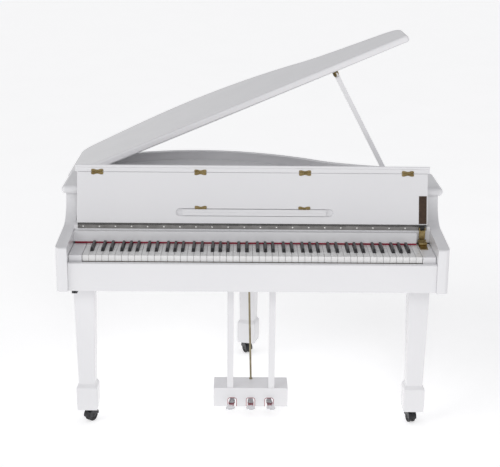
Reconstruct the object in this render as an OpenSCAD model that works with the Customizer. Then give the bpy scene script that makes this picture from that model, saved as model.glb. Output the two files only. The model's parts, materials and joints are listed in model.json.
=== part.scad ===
// Digital baby grand piano: shallow grand case on three legs, propped lid,
// folding fallboard with lip and music ledge, 88 keys, pedal lyre and casters.
// Lengths are millimetres, +X is the player's right, +Y is the tail, +Z is up.

/* [Keyboard] */
// Spacing of the white keys
white_pitch = 23.6; // [23:0.1:23.8]
// Height of the white key tops above the floor
key_top = 730; // [700:1:745]
// Length of a white key in front of the felt
white_len = 150; // [145:1:152]
// Distance from the white key fronts to the black key fronts
black_front = 50; // [45:1:60]
// Width of a black key
black_w = 11; // [9:0.5:12]
// Height of a black key above the white keys
black_h = 12; // [10:0.5:13]

/* [Case] */
// Half of the width over the side arms
case_half = 706; // [690:1:720]
// Height of the underside of the case above the floor
case_bottom = 602; // [580:1:610]
// Height of the top of the rim above the floor
rim_top = 882; // [870:1:890]
// Thickness of the side arms beside the keys
arm_t = 42; // [36:1:46]
// Distance that the arms reach in front of the white keys
arm_reach = 36; // [30:1:44]
// Radius of the hollow curve that lifts the arms to the rim
arm_curve = 100; // [80:1:105]
// Thickness of the curved rim
rim_t = 30; // [20:1:34]

/* [Lid] */
// Opening angle of the lid on its prop
lid_open = 23; // [10:0.5:25]
// Thickness of the lid
lid_t = 27; // [20:1:30]
// Overhang of the lid beyond the rim
lid_over = 15; // [12:1:18]
// Distance from the white key fronts to the front edge of the moving lid
lid_front = 512; // [480:1:540]
// Thickness of the square prop
prop_t = 19; // [14:1:22]

/* [Fallboard] */
// Height of the fallboard between its hinge and its lip
board_h = 190; // [180:1:200]
// Backward lean of the open fallboard
board_lean = 16; // [0:1:18]
// Thickness of the fallboard
board_t = 18; // [16:1:20]
// Height of the folding lip
lip_h = 26; // [18:1:28]
// Width of the music ledge flap
ledge_h = 24; // [20:1:26]

/* [Legs] */
// Width of a leg at its top
leg_w = 80; // [70:1:86]
// Width of a leg above its foot block
leg_waist = 63; // [50:1:66]
// Height of the underside of the foot blocks above the floor
caster_h = 61; // [58:1:68]

/* [Pedals] */
// Width of the pedal box
box_w = 289; // [270:1:310]
// Spacing of the pedals
pedal_gap = 72; // [64:1:80]

/* [Hidden] */

// The outline is drawn from the white key fronts back. tail_y is its furthest point.
tail_y = 1127;
front_y = (arm_reach - tail_y) / 2;
lid_half = case_half + lid_over;

// Case
arm_inner = case_half - arm_t;
rim_inner = case_half - rim_t;
arm_back = 288;
arm_nose_z = 768;
board_thick = 18;
keybed_t = 30;
keybed_top = case_bottom + keybed_t;
slip_t = 20;
slip_gap = 4;
slip_top = 707;
deck_top = 846;
top_front = 262;
top_base = 7.5;
top_t = 31.5;
panel_y = 289;
well_x = [-560, 575];
well_y = [530, 940];
well_back = 60;

// Keyboard
key_h = 22;
key_back = 236;
key_gap = 0.5;
key_clear = 0.9;
white_count = 52;
middle_c = 23;
pivot_y = 222;
keys_half = white_count * white_pitch / 2;
cheek_in = keys_half + 1.4;
cheek_out = arm_inner - 1;
rail_front = 154;
rail_low = 736;
rail_mid = 776;
rail_end = 612;
felt_t = 2;
felt_low = 731;

// Fallboard, its hinge axis and its parts
hinge_y = 177;
hinge_z = 798;
knuckle_r = 2.8;
pin_r = 1.2;
board_half = 654;
lip_half = 661;
board_y = 178;
board_z = 802;
board_top = board_z + board_h;
lip_axis_y = 176.3;
lip_axis_z = board_top + 0.5;
lip_z = board_top + 1;
shelf_top = 794.5;
small_hinge_w = 45;
small_knuckle_r = 1.6;
lip_hinge_x = [-579, -195, 195, 579];
ledge_hinge_x = [-193, 193];
ledge_x0 = -262;
ledge_x1 = 275;
finger_x0 = -285;
finger_x1 = 301;
ledge_t = 8;
ledge_axis_y = 176.3;
ledge_top = 855;
ledge_axis_z = ledge_top + 1.8;
ledge_crease = 11;

// Soft-fall damper beside the treble end of the keys
damper_x0 = 618;
damper_x1 = 648;
damper_y = 167;
damper_z = 741;
damper_len = 51;
roller_r = 6;
damper_knuckle_r = 8;

// Lid hinge axis, and the prop in the closed lid's place
lid_axis_x = -case_half - 6.5;
lid_axis_z = rim_top - 5;
lid_under = rim_top + 0.5;
lid_hinge_y = [570, 720, 870];
lid_hinge_len = 70;
lid_knuckle_r = 3.3;
prop_lean = 28;
prop_len = 505;
prop_closed = [411.7, 552, lid_under - 16];
prop_fold = 45;
prop_start = 10.5;
seat_tilt = 58.2;
seat_back = 650;

// Legs, casters and lyre
front_leg_x = 629;
front_leg_y = 174;
rear_leg = [-5, 898];
rear_turn = -16;
wheel_r = 24;
wheel_trail = 14;
box_y0 = 190;
box_y1 = 300;
box_z0 = 58;
box_z1 = 135;
box_wall = 12;
slot_w = 35;
slot_top = 95;
post_w = 24;
post_x = 80;
shaft_y = 275;
shaft_z = 80;
shaft_r = 4;

// One coloured sub-part, moved from the key fronts to the middle of the whole
module part(c) { color(c) translate([0, front_y, 0]) children(); }

// A box from its low corner to its high corner
module box(a, b) { translate(a) cube(b - a); }

// A profile of [y, z] points, extruded from x0 to x1
module along_x(x0, x1) {
    translate([x0, 0, 0]) rotate([90, 0, 90]) linear_extrude(x1 - x0) children();
}

// A round bar along X, centred on y and z
module bar_x(x0, x1, y, z, r) {
    translate([x0, y, z]) rotate([0, 90, 0]) cylinder(h = x1 - x0, r = r, $fn = 48);
}

// Points of an arc, counter-clockwise for a1 > a0
function arc(c, r, a0, a1, n) =
    [for (i = [0:n]) let (a = a0 + (a1 - a0) * i / n) c + r * [cos(a), sin(a)]];

// A cubic curve's point and unit tangent at t
function cubic(p, t) = pow(1 - t, 3) * p[0] + 3 * pow(1 - t, 2) * t * p[1]
    + 3 * (1 - t) * t * t * p[2] + t * t * t * p[3];
function slope(p, t) = let (d = pow(1 - t, 2) * (p[1] - p[0])
    + 2 * (1 - t) * t * (p[2] - p[1]) + t * t * (p[3] - p[2])) d / norm(d);

// The grand outline as five curves: left back corner, tail, bent side in two, right corner
outline_curves = [
    [[-lid_half, 925], [-lid_half, 975], [-700, 1005], [-650, 1022]],
    [[-650, 1022], [-536, 1061], [-380, tail_y], [-235, tail_y]],
    [[-235, tail_y], [-40, tail_y], [140, 1052], [300, 930]],
    [[300, 930], [380, 869], [520, 835], [640, 795]],
    [[640, 795], [700, 775], [lid_half, 745], [lid_half, 690]]];

// The outline moved inwards by d, starting and ending at y
function outline(d, y) = concat([[-lid_half + d, y]],
    [for (c = outline_curves, i = [0:11]) let (t = i / 12, s = slope(c, t))
        cubic(c, t) + d * [s[1], -s[0]]],
    [[lid_half - d, 690], [lid_half - d, y]]);

module slab(d, y, z0, z1) {
    translate([0, 0, z0]) linear_extrude(z1 - z0) polygon(outline(d, y));
}

// ---- case ----

module keybed() part("white")
    box([-arm_inner, -slip_gap, case_bottom], [arm_inner, panel_y, keybed_top]);

module keyslip() part("white") along_x(-arm_inner, arm_inner)
    polygon(concat([[-slip_gap, case_bottom], [-slip_gap, slip_top]],
        arc([-slip_gap - slip_t + 4, slip_top - 4], 4, 90, 180, 6),
        [[-slip_gap - slip_t, case_bottom]]));

module case_rim() part("white") difference() {
    slab(lid_over, arm_back, case_bottom, rim_top);
    slab(lid_over + rim_t, arm_back - 1, case_bottom - 1, rim_top + 1);
}

// Side arm for the player's right; the left one is its mirror image
module arm() intersection() {
    along_x(arm_inner, case_half) polygon(concat(
        [[arm_back, case_bottom], [arm_back, rim_top]],
        arc([arm_back - arm_curve, rim_top], arm_curve, 0, -90, 16),
        arc([-arm_reach + 8, arm_nose_z - 8], 8, 90, 180, 6),
        [[-arm_reach, case_bottom]]));
    translate([0, 0, case_bottom]) linear_extrude(rim_top - case_bottom) polygon(concat(
        [[arm_inner, arm_back], [arm_inner, -arm_reach]],
        arc([case_half - 18, -arm_reach + 18], 18, -90, 0, 10),
        [[case_half, arm_back]]));
}

module right_arm() part("white") arm();
module left_arm() part("white") mirror([1, 0, 0]) arm();

module left_cheek_block() part("white")
    box([-cheek_out, 0, keybed_top], [-cheek_in, white_len + 1, key_top]);

module right_cheek_block() part("white")
    box([cheek_in, 0, keybed_top], [cheek_out, hinge_y - 3, key_top]);

// Rail behind the keys with the shelf that carries the fallboard hinge
module key_back_rail() part("white") {
    along_x(-arm_inner, rail_end) polygon([[rail_front, rail_low], [hinge_y + 0.3, rail_low],
        [hinge_y + 0.3, rail_mid], [rail_front, rail_mid]]);
    along_x(-arm_inner, arm_inner) polygon([[hinge_y + 0.5, key_top + 3], [panel_y, key_top + 3],
        [panel_y, key_top + 15], [196, key_top + 15], [196, rail_mid],
        [panel_y, rail_mid], [panel_y, shelf_top], [hinge_y + 0.5, shelf_top]]);
}

module key_felt() part("darkred")
    box([-arm_inner + 6, rail_front - felt_t, felt_low], [rail_end, rail_front + 2, rail_low]);

module front_panel() part("white")
    box([-rim_inner, panel_y, case_bottom + board_thick], [rim_inner, panel_y + board_thick, rim_top]);

// Fixed front section of the top with a half-round front edge and sides, on a plain board
module front_top_panel() part("white") {
    r = top_t / 2;
    z = rim_top + top_base + r;
    back = lid_front - 1;
    box([-case_half, arm_back, rim_top], [case_half, back, z]);
    box([-lid_half + r, top_front + r, z - r], [lid_half - r, back, z + r]);
    bar_x(-lid_half + r, lid_half - r, top_front + r, z, r);
    for (s = [-1, 1]) {
        translate([s * (lid_half - r), back, z]) rotate([90, 0, 0])
            cylinder(h = back - top_front - r, r = r, $fn = 48);
        translate([s * (lid_half - r), top_front + r, z]) sphere(r = r, $fn = 48);
    }
}

// Deck ledge below the rim with a large well over the loudspeakers
module inner_deck() part("white") difference() {
    slab(lid_over + rim_t, panel_y + board_thick, deck_top - board_thick, deck_top);
    intersection() {
        slab(lid_over + rim_t + well_back, well_y[0] - 10, deck_top - board_thick - 1, deck_top + 1);
        box([well_x[0], well_y[0], deck_top - board_thick - 1], [well_x[1], well_y[1], deck_top + 1]);
    }
}

speaker_x = [-420, -120];
speaker_y = 720;
speaker_r = 80;

module bottom_board() part("white") difference() {
    slab(lid_over + rim_t, panel_y, case_bottom, case_bottom + board_thick);
    for (x = speaker_x) translate([x, speaker_y, case_bottom - 1])
        cylinder(h = board_thick + 2, r = speaker_r, $fn = 72);
    box([-590, 430, case_bottom - 1], [-560, 480, case_bottom + board_thick + 1]);
}

module speakers() part("dimgray") for (x = speaker_x) {
    translate([x, speaker_y, case_bottom + board_thick]) rotate_extrude($fn = 72)
        polygon([[speaker_r - 12, 0], [speaker_r + 14, 0], [speaker_r + 14, 5], [speaker_r - 4, 5],
            [40, 28], [40, 48], [0, 48], [0, 14], [24, 14], [speaker_r - 12, 3]]);
    translate([x, speaker_y, case_bottom]) cylinder(h = 3, r = speaker_r, $fn = 72);
}

// Amplifier tray with the mains inlet that passes through the bottom board
module amplifier() part("darkslategray") {
    z = case_bottom + board_thick;
    box([-600, 420, z], [-330, 580, z + 4]);
    box([-540, 440, z + 4], [-460, 560, z + 44]);
    box([-440, 440, z + 4], [-350, 560, z + 22]);
    difference() {
        box([-589, 431, case_bottom - 2], [-561, 479, z + 12]);
        box([-584, 440, case_bottom - 3], [-566, 470, z - 4]);
    }
}

module headphone_jack() part("dimgray") difference() {
    box([-652, -22, case_bottom - 10], [-632, 34, case_bottom]);
    translate([-642, -23, case_bottom - 5]) rotate([-90, 0, 0]) cylinder(h = 30, r = 3.2, $fn = 32);
}

// ---- fallboard ----

// Turns a piece of the upright fallboard back by its lean
module leaned() {
    translate([0, hinge_y, hinge_z]) rotate([-board_lean, 0, 0])
        translate([0, -hinge_y, -hinge_z]) children();
}

strip_half = 650;
strip_step = 50;
strip_cells = 26;
strip_low = 781;

// Knuckles of the continuous hinge: every second cell, from the first or the second
module strip_knuckles(first) for (i = [first:2:strip_cells - 1]) difference() {
    x = -strip_half + i * strip_step;
    bar_x(x + 0.3, x + strip_step - 0.3, hinge_y, hinge_z, knuckle_r);
    bar_x(x - 1, x + strip_step + 1, hinge_y, hinge_z, pin_r + 0.05);
}

module hinge_strip_fixed() part("silver") {
    box([-strip_half, hinge_y - 1.3, strip_low], [strip_half, hinge_y + 0.5, 794]);
    for (i = [0:2:strip_cells - 1]) translate([-strip_half + i * strip_step, 0, 0])
        box([0.3, hinge_y - 1.3, 793], [strip_step - 0.3, hinge_y + 0.3, 796]);
    strip_knuckles(0);
    bar_x(-strip_half + 1, strip_half - 1, hinge_y, hinge_z, pin_r);
}

module hinge_strip_moving() part("silver") leaned() {
    box([-strip_half, hinge_y + 2, board_z - 1.6], [strip_half, hinge_y + 17, board_z]);
    for (i = [1:2:strip_cells - 1]) translate([-strip_half + i * strip_step, 0, 0])
        box([0.3, hinge_y + 0.2, board_z - 2.2], [strip_step - 0.3, hinge_y + 3, board_z - 0.6]);
    strip_knuckles(1);
}

module fallboard() part("white") leaned() difference() {
    recess_low = ledge_top - ledge_h - 1.5;
    recess_top = ledge_axis_z + 0.3;
    r = (recess_top - recess_low) / 2;
    box([-board_half, board_y, board_z], [board_half, board_y + board_t, board_top]);
    box([finger_x0 + r, board_y - 1, recess_low],
        [finger_x1 - r, board_y + ledge_t + 1.5, recess_top]);
    for (x = [finger_x0 + r, finger_x1 - r]) translate([x, board_y - 1, recess_low + r])
        rotate([-90, 0, 0]) cylinder(h = ledge_t + 2.5, r = r, $fn = 48);
}

module fallboard_lip() part("white") leaned() along_x(-lip_half, lip_half)
    polygon(concat([[board_y + board_t, lip_z], [board_y + board_t, lip_z + lip_h - 3],
            [board_y + board_t - 3, lip_z + lip_h]],
        arc([board_y - 2, lip_z + lip_h - 4], 4, 90, 180, 5),
        arc([board_y - 6, lip_z + 11], 6, 70, 0, 6),
        [[board_y, lip_z]]));

// Small brass hinge leaf on the face of the board or of the lip
module small_leaf(x, z0, z1) {
    w = small_hinge_w / 2;
    box([x - w, lip_axis_y + 0.1, z0], [x + w, board_y, z1]);
}

module lip_hinges_board() part("goldenrod") leaned() for (x = lip_hinge_x) {
    small_leaf(x, lip_axis_z - 11.5, lip_axis_z - 2.4);
    for (s = [-1, 1]) {
        x0 = s > 0 ? x + 7.7 : x - 22.5;
        bar_x(x0, x0 + 14.8, lip_axis_y, lip_axis_z, small_knuckle_r);
        box([x0, lip_axis_y + 0.1, lip_axis_z - 3], [x0 + 14.8, lip_axis_y + 1.6, lip_axis_z]);
    }
    bar_x(x - 22, x + 22, lip_axis_y, lip_axis_z, 0.9);
}

module lip_hinges_lip() part("goldenrod") leaned() for (x = lip_hinge_x) {
    small_leaf(x, lip_axis_z + 2.4, lip_axis_z + 10.5);
    difference() {
        union() {
            bar_x(x - 7.3, x + 7.3, lip_axis_y, lip_axis_z, small_knuckle_r);
            box([x - 7.3, lip_axis_y + 0.1, lip_axis_z], [x + 7.3, lip_axis_y + 1.6, lip_axis_z + 3]);
        }
        bar_x(x - 8, x + 8, lip_axis_y, lip_axis_z, 0.96);
    }
}

// Flap with a sloping lower half below a fine crease
module music_ledge() part("white") leaned() {
    z = ledge_top - ledge_h;
    fold = z + ledge_crease;
    along_x(ledge_x0, ledge_x1) polygon([[board_y + 3, z], [board_y + 5, z],
        [board_y + ledge_t, z + 3], [board_y + ledge_t, ledge_top], [board_y, ledge_top],
        [board_y, fold + 1], [board_y + 1, fold + 0.5], [board_y + 0.4, fold]]);
}

module ledge_hinges_board() part("goldenrod") leaned() for (x = ledge_hinge_x) {
    z = ledge_axis_z;
    box([x - 22.5, ledge_axis_y - 0.1, z + 2.4], [x + 22.5, board_y, z + 11]);
    for (s = [-1, 1]) {
        x0 = s > 0 ? x + 7.7 : x - 22.5;
        bar_x(x0, x0 + 14.8, ledge_axis_y, z, small_knuckle_r);
        box([x0, ledge_axis_y - 0.1, z], [x0 + 14.8, ledge_axis_y + 1.3, z + 3]);
    }
    bar_x(x - 22, x + 22, ledge_axis_y, z, 0.9);
}

module ledge_hinges_flap() part("goldenrod") leaned() for (x = ledge_hinge_x) {
    z = ledge_axis_z;
    difference() {
        union() {
            box([x - 7.3, ledge_axis_y, ledge_top],
                [x + 7.3, board_y + ledge_t - 1, ledge_top + 1.2]);
            bar_x(x - 7.3, x + 7.3, ledge_axis_y, z, small_knuckle_r);
        }
        bar_x(x - 8, x + 8, ledge_axis_y, z, 0.96);
    }
}

module wear_strip() part("saddlebrown") leaned()
    box([621, board_y - 1, 805.2], [650, board_y, 909.3]);

// ---- soft-fall damper ----

module damper_body() part("goldenrod") {
    base = key_top + 2.4;
    box([damper_x0, 96, key_top], [damper_x1, 174, base]);
    for (x = [damper_x0, damper_x1 - 4]) {
        bar_x(x, x + 4, damper_y, damper_z, damper_knuckle_r);
        box([x, damper_y - 7.5, base - 1], [x + 4, damper_y + 6.9, damper_z]);
    }
    bar_x(damper_x0, damper_x1, 138, key_top + 10, 8);
    box([damper_x0 + 2, 131, base - 1], [damper_x1 - 2, 145, key_top + 10]);
    bar_x(damper_x0 + 1, damper_x1 - 1, damper_y, damper_z, 3);
}

module damper_arm() part("goldenrod") {
    difference() {
        union() {
            bar_x(damper_x0 + 4.5, damper_x1 - 4.5, damper_y, damper_z, damper_knuckle_r - 0.6);
            box([624, damper_y - 1.5, damper_z], [642, damper_y + 1.5, damper_z + 12]);
            box([621.5, damper_y - 1.5, damper_z + 11],
                [644.5, damper_y + 1.5, damper_z + damper_len - 9]);
        }
        bar_x(damper_x0, damper_x1, damper_y, damper_z, 3.05);
    }
    for (x = [621.5, 642]) {
        box([x, damper_y - 3, damper_z + damper_len - 14],
            [x + 2.5, damper_y + 3, damper_z + damper_len]);
        bar_x(x, x + 2.5, damper_y, damper_z + damper_len, 3);
    }
    box([621.5, damper_y - 1.5, damper_z + damper_len - 14],
        [644.5, damper_y + 1.5, damper_z + damper_len - 9]);
    bar_x(622, 644, damper_y, damper_z + damper_len, 1.5);
}

module damper_roller() part("dimgray") difference() {
    bar_x(624.5, 641.5, damper_y, damper_z + damper_len, roller_r);
    bar_x(620, 646, damper_y, damper_z + damper_len, 1.55);
}

// ---- lid and prop ----

// Turns a piece of the closed lid to the lid's open place
module opened() {
    translate([lid_axis_x, 0, lid_axis_z]) rotate([0, -lid_open, 0])
        translate([-lid_axis_x, 0, -lid_axis_z]) children();
}

module lid() part("white") opened() slab(0, lid_front, lid_under, lid_under + lid_t);

module lid_knuckle(y0, y1) translate([lid_axis_x, y1, lid_axis_z]) rotate([90, 0, 0])
    cylinder(h = y1 - y0, r = lid_knuckle_r, $fn = 40);

module lid_hinges_case() part("goldenrod") for (y = lid_hinge_y) {
    box([-case_half - 2.5, y, lid_axis_z - 34], [-case_half, y + lid_hinge_len, lid_axis_z - 3]);
    for (y0 = [y, y + lid_hinge_len - 20]) {
        lid_knuckle(y0, y0 + 20);
        box([lid_axis_x, y0, lid_axis_z - 7], [-case_half, y0 + 20, lid_axis_z - 3]);
    }
    translate([lid_axis_x, y + lid_hinge_len - 1, lid_axis_z]) rotate([90, 0, 0])
        cylinder(h = lid_hinge_len - 2, r = 2, $fn = 32);
}

module lid_hinges_lid() part("goldenrod") opened() for (y = lid_hinge_y) {
    box([lid_axis_x - 7, y + 1, lid_under - 2], [lid_axis_x + 3.5, y + lid_hinge_len - 1, lid_under]);
    difference() {
        union() {
            lid_knuckle(y + 20.4, y + lid_hinge_len - 20.4);
            box([lid_axis_x - 3, y + 20.4, lid_axis_z], [lid_axis_x + 3, y + lid_hinge_len - 20.4,
                lid_under - 1]);
        }
        translate([lid_axis_x, y + lid_hinge_len, lid_axis_z]) rotate([90, 0, 0])
            cylinder(h = lid_hinge_len, r = 2.06, $fn = 32);
    }
}

// The prop hangs square to its hinge pin; the pin lies across the fold direction
prop_down = [sin(prop_lean - lid_open), 0, -cos(prop_lean - lid_open)];
prop_flat = [-cos(prop_fold), sin(prop_fold), 0];
prop_pin = cross(prop_down, prop_flat) / norm(cross(prop_down, prop_flat));
prop_side = cross(prop_pin, prop_down);

// Pivot frame of the closed lid: local X along the pin, local Z against the prop
module at_prop_pin() {
    m = [prop_pin, prop_side, -prop_down];
    multmatrix([[m[0][0], m[1][0], m[2][0], prop_closed[0]],
        [m[0][1], m[1][1], m[2][1], prop_closed[1]],
        [m[0][2], m[1][2], m[2][2], prop_closed[2]]]) children();
}

module prop_bracket() part("goldenrod") opened() {
    translate([prop_closed[0], prop_closed[1], lid_under - 3]) rotate([0, 0, 90 - prop_fold])
        box([-20, -9.5, 0], [20, 9.5, 3]);
    intersection() {
        at_prop_pin() for (s = [-1, 1]) translate([s * 7 - 2, 0, 0]) {
            rotate([0, 90, 0]) cylinder(h = 4, r = 7.5, $fn = 40);
            box([0, -7.5, 0], [4, 7.5, 20]);
        }
        box([prop_closed[0] - 40, prop_closed[1] - 40, lid_under - 30],
            [prop_closed[0] + 40, prop_closed[1] + 40, lid_under]);
    }
    at_prop_pin() translate([-9, 0, 0]) rotate([0, 90, 0]) cylinder(h = 18, r = 2.5, $fn = 32);
}

// The prop's stick keeps its faces square to the case; its foot is cut to the seat's slope
prop_pivot = [lid_axis_x + (prop_closed[0] - lid_axis_x) * cos(lid_open)
        - (prop_closed[2] - lid_axis_z) * sin(lid_open), prop_closed[1],
    lid_axis_z + (prop_closed[0] - lid_axis_x) * sin(lid_open)
        + (prop_closed[2] - lid_axis_z) * cos(lid_open)];
seat_point = prop_pivot + prop_len * [sin(prop_lean), 0, -cos(prop_lean)];

module lid_prop() part("white") {
    difference() {
        translate(prop_pivot) rotate([0, -prop_lean, 0])
            box([-prop_t / 2, -prop_t / 2, -prop_len - 20], [prop_t / 2, prop_t / 2, -prop_start]);
        translate(seat_point) rotate([0, -seat_tilt, 0]) box([-60, -30, -60], [60, 30, 0.3]);
    }
    opened() difference() {
        union() {
            at_prop_pin() translate([-4.5, 0, 0]) rotate([0, 90, 0]) cylinder(h = 9, r = 7, $fn = 40);
            at_prop_pin() box([-4.5, -6, -prop_start - 4], [4.5, 6, 0]);
        }
        at_prop_pin() translate([-9, 0, 0]) rotate([0, 90, 0]) cylinder(h = 18, r = 2.58, $fn = 32);
    }
}

// Sloped rest for the prop's foot, on the right edge of the deck
module prop_seat() part("white") {
    up = [cos(seat_tilt), 0, sin(seat_tilt)];
    low = seat_point - up * (seat_point[2] - deck_top + board_thick) / sin(seat_tilt);
    high = seat_point + up * 12;
    translate([0, seat_point[1] + 21.5, 0]) rotate([90, 0, 0]) linear_extrude(43)
        polygon([[low[0], low[2]], [well_x[1], low[2]], [well_x[1], deck_top],
            [seat_back, deck_top], [seat_back, high[2] - 8], [seat_back - 20, high[2]],
            [high[0], high[2]]]);
}

// ---- legs and casters ----

// Half width of a leg against height
leg_profile = [[leg_w / 2 - 2, caster_h], [leg_w / 2, caster_h + 25], [leg_w / 2, caster_h + 93],
    [leg_waist / 2, caster_h + 107], [leg_w / 2, case_bottom]];

module leg_side() rotate([90, 0, 0]) translate([0, 0, -leg_w]) linear_extrude(2 * leg_w)
    polygon(concat(leg_profile, [for (i = [4:-1:0]) [-leg_profile[i][0], leg_profile[i][1]]]));

module leg() intersection() {
    leg_side();
    rotate([0, 0, 90]) leg_side();
}

module front_left_leg() part("white") translate([-front_leg_x, front_leg_y, 0]) leg();
module front_right_leg() part("white") translate([front_leg_x, front_leg_y, 0]) leg();
module rear_leg_piece() translate([rear_leg[0], rear_leg[1], 0]) rotate([0, 0, rear_turn]) children();
module rear_leg() part("white") rear_leg_piece() leg();

module caster_plate() {
    box([-23, -23, caster_h - 3], [23, 23, caster_h]);
}

module caster_plates() part("black") {
    for (s = [-1, 1]) translate([s * front_leg_x, front_leg_y, 0]) caster_plate();
    rear_leg_piece() caster_plate();
}

// Swivel housing: bearing disc, blade between the wheels and axle boss
module caster() difference() {
    union() {
        translate([0, 0, caster_h - 6.5]) cylinder(h = 3.2, r = 17, $fn = 48);
        box([-2.5, -8, wheel_r - 6], [2.5, wheel_trail + 6, caster_h - 6]);
        bar_x(-2.5, 2.5, wheel_trail, wheel_r, 8);
    }
    bar_x(-4, 4, wheel_trail, wheel_r, 3.06);
}

module wheels() {
    for (s = [-1, 1]) {
        x0 = s > 0 ? 3.2 : -13.2;
        bar_x(x0, x0 + 10, wheel_trail, wheel_r, wheel_r);
    }
    bar_x(-10, 10, wheel_trail, wheel_r, 3);
}

caster_turn = [-35, 14, 25];

module at_front_caster(s) translate([s * front_leg_x, front_leg_y, 0])
    rotate([0, 0, s < 0 ? caster_turn[0] : caster_turn[1]]) children();
module at_rear_caster() translate([rear_leg[0], rear_leg[1], 0])
    rotate([0, 0, caster_turn[2]]) children();

module front_left_caster() part("black") at_front_caster(-1) caster();
module front_right_caster() part("black") at_front_caster(1) caster();
module rear_caster() part("black") at_rear_caster() caster();
module front_left_wheels() part("black") at_front_caster(-1) wheels();
module front_right_wheels() part("black") at_front_caster(1) wheels();
module rear_wheels() part("black") at_rear_caster() wheels();

// ---- lyre ----

module lyre_posts() part("white") for (s = [-1, 1])
    box([s * post_x - post_w / 2, box_y0 + 2, box_z1],
        [s * post_x + post_w / 2, box_y0 + 2 + post_w, case_bottom]);

module pedal_slot(x, extra) {
    r = 10 + extra;
    w = slot_w / 2 + extra;
    top = slot_top + extra;
    translate([x, 0, 0]) rotate([90, 0, 0]) translate([0, 0, -box_y0 - 14]) linear_extrude(20)
        polygon(concat([[w, box_z0 - 5]], arc([w - r, top - r], r, 0, 90, 6),
            arc([r - w, top - r], r, 90, 180, 6), [[-w, box_z0 - 5]]));
}

module pedal_box() part("white") {
    difference() {
        box([-box_w / 2, box_y0, box_z0], [box_w / 2, box_y1, box_z1]);
        box([-box_w / 2 + box_wall, box_y0 + box_wall, box_z0 - 1],
            [box_w / 2 - box_wall, box_y1 - box_wall, box_z1 - box_wall]);
        for (i = [-1:1]) pedal_slot(i * pedal_gap, 0);
    }
    bar_x(-box_w / 2 + box_wall - 2, box_w / 2 - box_wall + 2, shaft_y, shaft_z, shaft_r);
}

// Felt linings of the pedal slots, 2 mm thick
module pedal_felts() part("darkred") for (i = [-1:1]) intersection() {
    difference() {
        pedal_slot(i * pedal_gap, 0);
        pedal_slot(i * pedal_gap, -2);
    }
    box([-box_w / 2, box_y0 - 1, box_z0], [box_w / 2, box_y0 + box_wall - 2, box_z1]);
}

// Lever with a knuckle on the shaft, a neck and a rounded foot plate
module pedal(turn) {
    difference() {
        union() {
            bar_x(-12, 12, shaft_y, shaft_z, 9);
            box([-9, 190, 73], [9, shaft_y, 81]);
            translate([0, 200, 0]) rotate([0, 0, turn]) {
                box([-12.5, -60, 71], [12.5, 4, 80]);
                translate([0, -63, 70]) cylinder(h = 10, r = 18, $fn = 48);
            }
        }
        bar_x(-13, 13, shaft_y, shaft_z, shaft_r + 0.08);
    }
}

module left_pedal() part("silver") translate([-pedal_gap, 0, 0]) pedal(-6);
module middle_pedal() part("silver") pedal(0);
module right_pedal() part("silver") translate([pedal_gap, 0, 0]) pedal(6);

brace_low = [1, 284, box_z1];
brace_high = [-11, 430, case_bottom];

module lyre_brace_rod() part("goldenrod") {
    d = brace_high - brace_low;
    translate(brace_low) rotate([0, acos(d[2] / norm(d)), atan2(d[1], d[0])])
        translate([0, 0, 1.5]) cylinder(h = norm(d) - 3, r = 4, $fn = 32);
    translate(brace_low) cylinder(h = 4, r = 6.5, $fn = 40);
    translate(brace_high - [0, 0, 4]) cylinder(h = 4, r = 10, $fn = 40);
}

// ---- keys ----

// Letter of a white key from 0 for C to 6 for B; the first key is an A
function letter(i) = (i + 5) % 7;
// Sideways shift of the black key after each letter, or no black key there
black_shift = [-3.3, 3.3, undef, -4.4, 0, 4.4, undef];
function has_black(i) = i >= 0 && i < white_count - 1 && black_shift[letter(i)] != undef;
function black_x(i) = (i + 1) * white_pitch - keys_half + black_shift[letter(i)];

module white_key(i) {
    x0 = i * white_pitch - keys_half + key_gap;
    x1 = (i + 1) * white_pitch - keys_half - key_gap;
    cut = black_w / 2 + key_clear;
    xa = has_black(i - 1) ? black_x(i - 1) + cut : x0;
    xb = has_black(i) ? black_x(i) - cut : x1;
    y = black_front - key_clear;
    translate([0, 0, key_top - key_h]) linear_extrude(key_h) polygon([[x0, 0], [x1, 0], [x1, y],
        [xb, y], [xb, key_back], [xa, key_back], [xa, y], [x0, y]]);
}

module black_key(i) {
    x = black_x(i);
    low = key_top - key_h;
    along_x(x - black_w / 2, x + black_w / 2) polygon([[black_front + 0.3, low],
        [black_front + 1.4, key_top], [black_front + 5.5, key_top + black_h - 3],
        [black_front + 9, key_top + black_h], [white_len + 0.5, key_top + black_h],
        [white_len + 0.5, key_top - 1], [key_back, key_top - 1], [key_back, low]]);
}

module white_keys(i0, i1) for (i = [i0:i1]) white_key(i);
module black_keys(i0, i1) for (i = [i0:i1]) if (has_black(i)) black_key(i);

module bass_white_keys() part("white") white_keys(0, middle_c - 1);
module bass_black_keys() part("black") black_keys(0, middle_c - 1);
module middle_c_key() part("white") white_key(middle_c);
module c_sharp_key() part("black") black_key(middle_c);
module d_key() part("white") white_key(middle_c + 1);
module treble_white_keys() part("white") white_keys(middle_c + 2, white_count - 1);
module treble_black_keys() part("black") black_keys(middle_c + 1, white_count - 2);

// Frame under the keys: base, front rail and round balance bar
module key_frame() part("tan") {
    z = keybed_top;
    w = keys_half - 2;
    box([-w, 12, z], [w, 262, z + 10]);
    box([-w, 22, z + 10], [w, 44, key_top - key_h - 14]);
    box([-w, pivot_y - 9, z + 10], [w, pivot_y + 9, key_top - key_h - 7]);
    bar_x(-w, w, pivot_y, key_top - key_h - 6, 5.4);
}

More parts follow.
